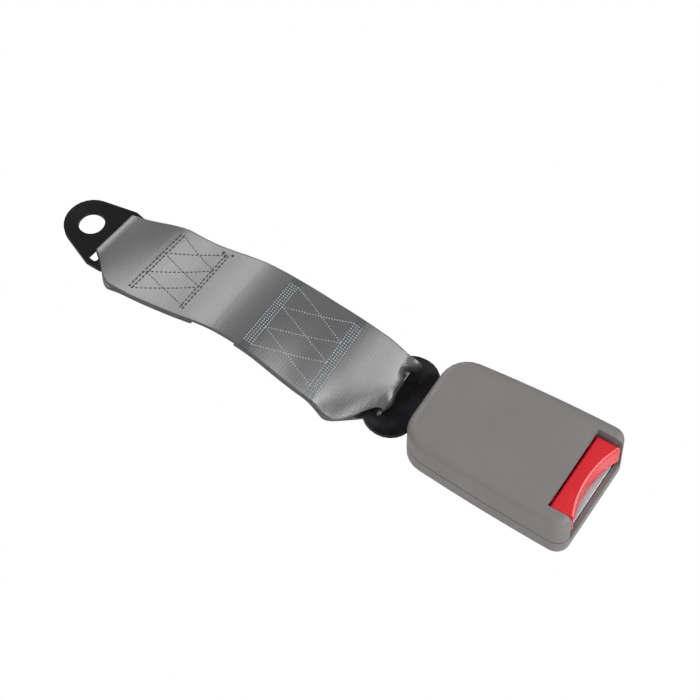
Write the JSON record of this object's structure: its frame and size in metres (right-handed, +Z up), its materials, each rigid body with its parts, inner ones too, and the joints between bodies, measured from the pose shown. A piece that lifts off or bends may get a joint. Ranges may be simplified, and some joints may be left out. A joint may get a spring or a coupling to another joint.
{
  "type": "two-point seat belt buckle half",
  "caption": "Buckle half of a lap seat belt: bolt-on anchor plate, sewn webbing strap and end-release push-button buckle with its tongue slot.",
  "frame": {"origin": "centre of the buckle's flat underside, on the plane the belt lies on", "axes": "+X along the buckle from its webbing end to its mouth, +Z up out of the buckle's top, +Y across the webbing"},
  "size_m": [0.283, 0.0606, 0.0329],
  "materials": {
    "webbing": "satin polyester weave",
    "dark_thread": "sewing thread",
    "pale_thread": "sewing thread",
    "black_steel": "black coated steel",
    "housing_plastic": "fine-grained moulding",
    "red_plastic": "smooth moulding",
    "spring_steel": "drawn wire",
    "inner_steel": "stamped steel",
    "pale_plastic": "moulding",
    "black_plastic": "moulding",
    "zinc_steel": "zinc plated"
  },
  "bodies": {
    "webbing": {"webbing_strap": "webbing", "anchor_stitching": "dark_thread", "buckle_stitching": "pale_thread"},
    "anchor": {"anchor_plate": "black_steel"},
    "buckle": {"buckle_frame": "black_steel", "upper_cover": "housing_plastic", "lower_cover": "housing_plastic", "cover_screw_1": "zinc_steel", "cover_screw_2": "zinc_steel", "cover_screw_3": "zinc_steel", "cover_screw_4": "zinc_steel", "frame_bridge": "inner_steel", "tongue_guide": "pale_plastic", "latch_pin": "inner_steel", "button_spring_left": "spring_steel", "button_spring_right": "spring_steel", "ejector_spring": "spring_steel"},
    "button": {"release_button": "red_plastic", "lock_bar": "inner_steel"},
    "ejector": {"ejector": "black_plastic"},
    "latch": {"latch": "inner_steel"}
  },
  "joints": [
    {"name": "anchor_swing", "type": "hinge", "parent": "webbing", "child": "anchor", "pos_m": [-0.2071, -0.0012, 0.00395], "axis": [0.1426, 0.9898, 0], "range_deg": [-12, 20]},
    {"name": "buckle_swing", "type": "hinge", "parent": "webbing", "child": "buckle", "pos_m": [-0.0662, 0, 0.00455], "axis": [0, 1, 0], "range_deg": [-7, 20]},
    {"name": "button_press", "type": "slide", "parent": "buckle", "child": "button", "axis": [-1, 0, 0], "range_m": [0, 0.006], "stiffness_N_per_m": 900, "springref_m": -0.004, "deforming": ["button_spring_left", "button_spring_right"]},
    {"name": "ejector_slide", "type": "slide", "parent": "buckle", "child": "ejector", "axis": [-1, 0, 0], "range_m": [0, 0.012], "stiffness_N_per_m": 250, "springref_m": -0.004, "deforming": ["ejector_spring"]},
    {"name": "latch_turn", "type": "hinge", "parent": "buckle", "child": "latch", "pos_m": [-0.026, 0, 0.0145], "axis": [0, 1, 0], "range_deg": [0, 7]}
  ],
  "couplings": [
    {"joint": "latch_turn", "follows": "ejector_slide", "rad_per_m": 10.16}
  ]
}
